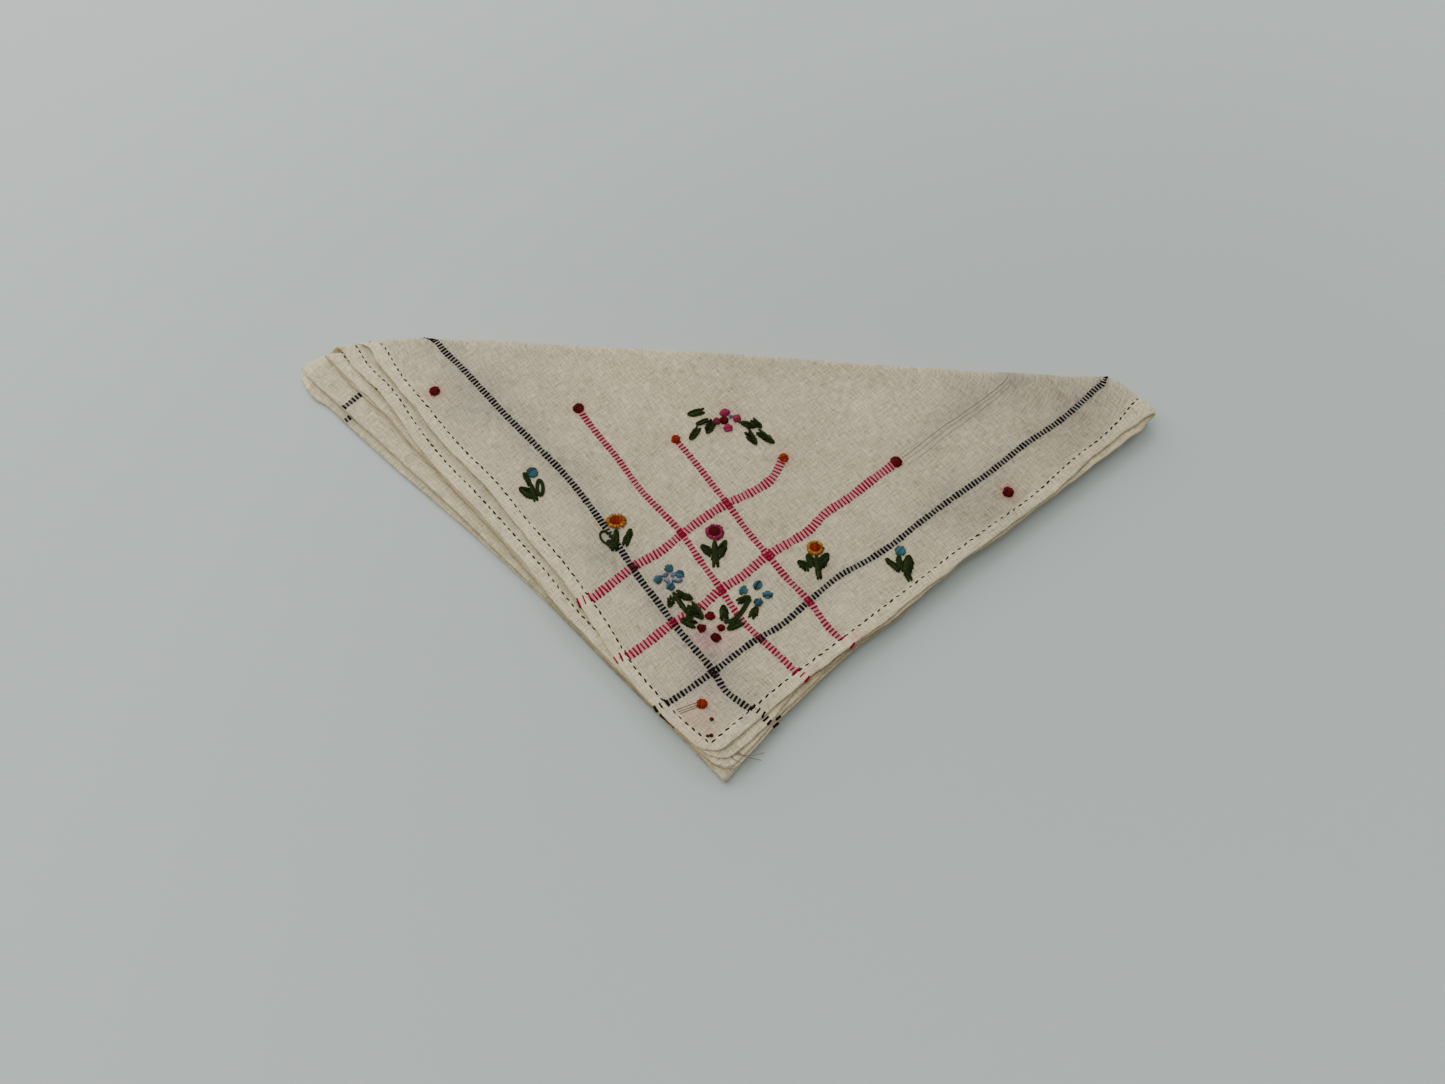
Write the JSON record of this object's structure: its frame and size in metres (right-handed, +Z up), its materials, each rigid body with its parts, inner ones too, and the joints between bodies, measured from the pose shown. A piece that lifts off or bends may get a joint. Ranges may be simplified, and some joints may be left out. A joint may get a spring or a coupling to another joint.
{
  "type": "folded handkerchief",
  "caption": "Thin square of hemmed linen folded flat into a triangle: one unbroken sheet, with a long crease at the back and stepped hems along both short sides.",
  "frame": {"origin": "on the table under the middle of the pile, on the flat underside of the lowest leaf", "axes": "+X along the long crease, +Y from the square corner towards the long crease, +Z up out of the table"},
  "size_m": [0.1984, 0.1037, 0.0094],
  "materials": {
    "linen": "plain woven linen, matt"
  },
  "bodies": {
    "root": {"handkerchief": "linen"}
  },
  "joints": []
}
